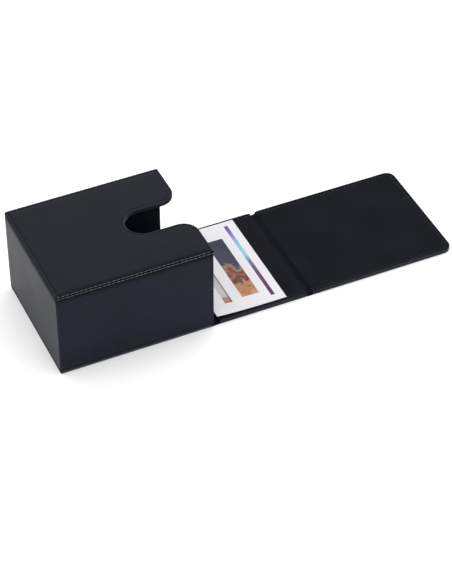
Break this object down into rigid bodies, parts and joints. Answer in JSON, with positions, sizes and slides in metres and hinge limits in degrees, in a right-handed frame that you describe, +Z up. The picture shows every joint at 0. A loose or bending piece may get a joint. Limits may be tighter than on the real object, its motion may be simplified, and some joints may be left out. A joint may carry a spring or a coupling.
{
  "type": "card deck box",
  "caption": "Flip-lid box for a deck of trading cards, lying open on its back: leather-covered board, thumb notch, folding lid and magnetic flap.",
  "frame": {"origin": "middle of the back panel's outer face, which the open box lies on", "axes": "+X from the closed end to the mouth and along the open lid and flap; +Y to the left side; +Z up, out of the front panel with the notch"},
  "size_m": [0.3135, 0.1, 0.072],
  "materials": {
    "leather": "black imitation leather, fine grain, satin",
    "lining": "black smooth microfibre lining, matte",
    "board": "grey board",
    "thread": "black polyester sewing thread, slight sheen",
    "magnet": "nickel-plated magnet",
    "steel": "plain steel disc",
    "card": "white coated print card with abstract panels"
  },
  "bodies": {
    "box": {"back_cover": "leather", "back_board": "board", "back_lining": "lining", "front_cover": "leather", "front_board": "board", "front_lining": "lining", "wall_cover": "leather", "wall_lining": "lining", "right_side_board": "board", "left_side_board": "board", "end_board": "board", "catch_discs": "steel", "back_seam_thread": "thread", "front_seam_thread": "thread", "mouth_thread": "thread", "front_edge_thread": "thread", "back_edge_thread": "thread", "side_mouth_threads": "thread", "lid_hinge_leather": "leather", "lid_hinge_lining": "lining"},
    "lid": {"lid_cover": "leather", "lid_board": "board", "lid_lining": "lining", "lid_threads": "thread", "flap_hinge_leather": "leather", "flap_hinge_lining": "lining"},
    "flap": {"flap_cover": "leather", "flap_board": "board", "flap_lining": "lining", "flap_threads": "thread", "flap_magnets": "magnet"},
    "card": {"printed_card": "card"}
  },
  "joints": [
    {"name": "lid_fold", "type": "hinge", "parent": "box", "child": "lid", "pos_m": [0.0624, 0, 0.0007], "axis": [0, -1, 0], "range_deg": [0, 90], "deforming": ["lid_hinge_leather", "lid_hinge_lining"]},
    {"name": "flap_fold", "type": "hinge", "parent": "lid", "child": "flap", "pos_m": [0.1367, 0, 0.0007], "axis": [0, -1, 0], "range_deg": [0, 90], "deforming": ["flap_hinge_leather", "flap_hinge_lining"]},
    {"name": "card_draw", "type": "slide", "parent": "lid", "child": "card", "axis": [0, -1, 0], "range_m": [0, 0.1]}
  ]
}
